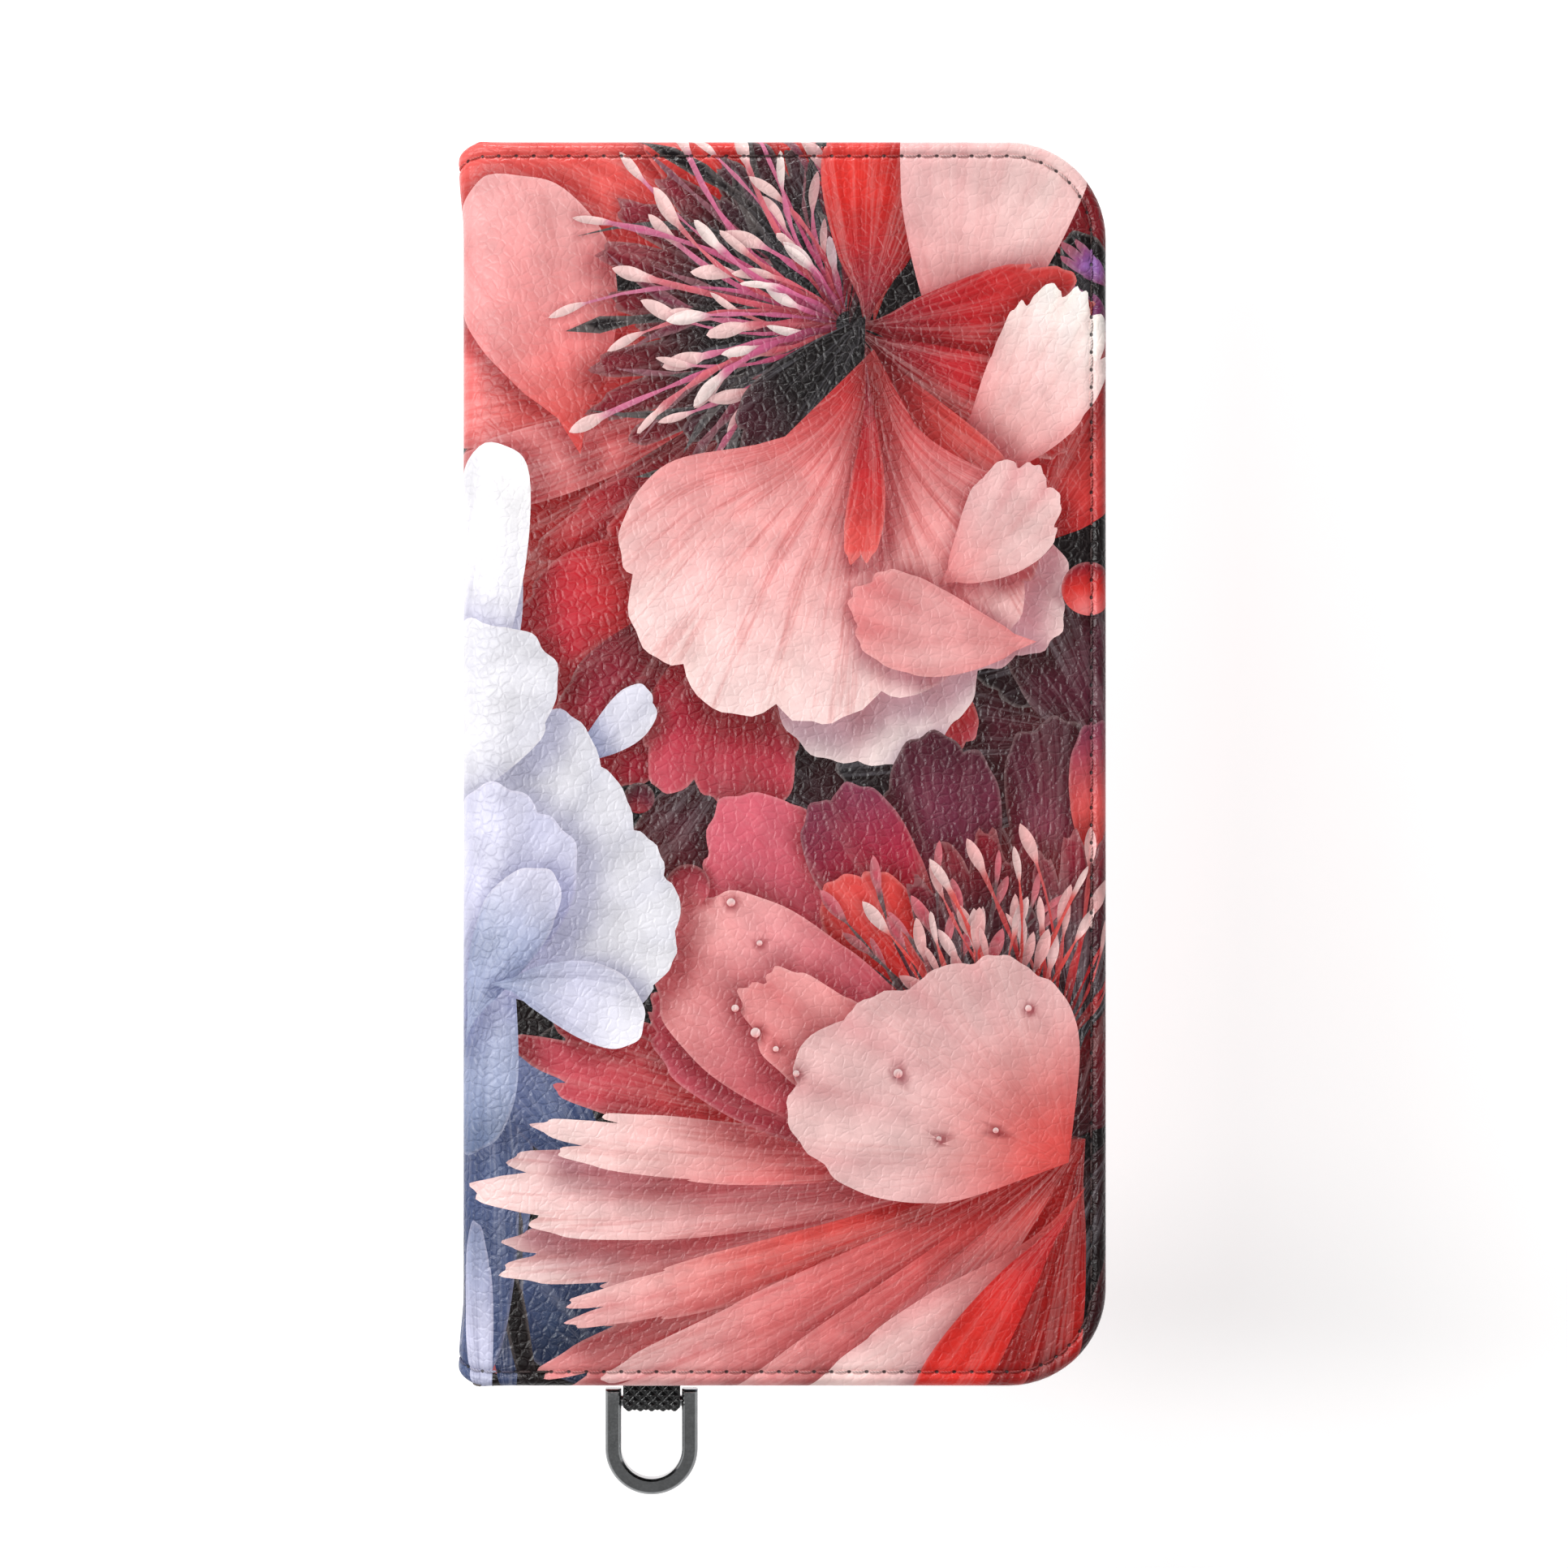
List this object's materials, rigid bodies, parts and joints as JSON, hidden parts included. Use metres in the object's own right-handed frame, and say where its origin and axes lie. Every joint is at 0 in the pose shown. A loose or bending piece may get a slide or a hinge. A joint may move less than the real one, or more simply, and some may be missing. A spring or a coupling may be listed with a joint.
{
  "type": "phone case",
  "caption": "Folio phone case with a floral printed wrap, snap-in phone tray, card and cash pockets inside the cover, and a strap ring on its bottom edge.",
  "frame": {"origin": "middle of the back cover's outer face, with the case closed", "axes": "+Z through the closed case towards the front cover, +Y towards the top of the phone, -X towards the spine"},
  "size_m": [0.0792, 0.1691, 0.0171],
  "materials": {
    "printed_skin": "satin, printed, pebbled grain",
    "printed_thread": "matte, printed over",
    "board": "matte",
    "lining": "matte microfibre",
    "pocket": "satin, fine grain",
    "pocket_thread": "matte",
    "adhesive": "matte foam tape",
    "tray": "fine spark texture",
    "magnet": "nickel plated",
    "strap": "semi-gloss, embossed",
    "gunmetal": "dark nickel plated, satin"
  },
  "bodies": {
    "back": {"back_skin": "printed_skin", "back_board": "board", "back_lining": "lining", "back_thread": "printed_thread", "adhesive_pad": "adhesive", "phone_tray": "tray", "tray_magnets": "magnet", "ring_tab": "strap"},
    "spine": {"spine_skin": "printed_skin", "spine_lining": "lining", "spine_thread": "printed_thread"},
    "front": {"front_skin": "printed_skin", "front_board": "board", "front_magnets": "magnet", "front_lining": "lining", "front_thread": "printed_thread", "cash_pocket": "pocket", "card_slot_upper": "pocket", "card_slot_middle": "pocket", "card_slot_lower": "pocket", "pocket_thread": "pocket_thread"},
    "ring": {"strap_ring": "gunmetal", "ring_pin": "gunmetal"}
  },
  "joints": [
    {"name": "spine_fold", "type": "hinge", "parent": "back", "child": "spine", "pos_m": [-0.03879, 0, 0.00081], "axis": [0, -1, 0], "range_deg": [0, 179]},
    {"name": "cover_fold", "type": "hinge", "parent": "spine", "child": "front", "pos_m": [-0.03879, 0, 0.01629], "axis": [0, -1, 0], "range_deg": [0, 179]},
    {"name": "ring_swing", "type": "hinge", "parent": "back", "child": "ring", "pos_m": [-0.0168, -0.08075, 0.0014], "axis": [-1, 0, 0], "range_deg": [-140, 108]}
  ]
}
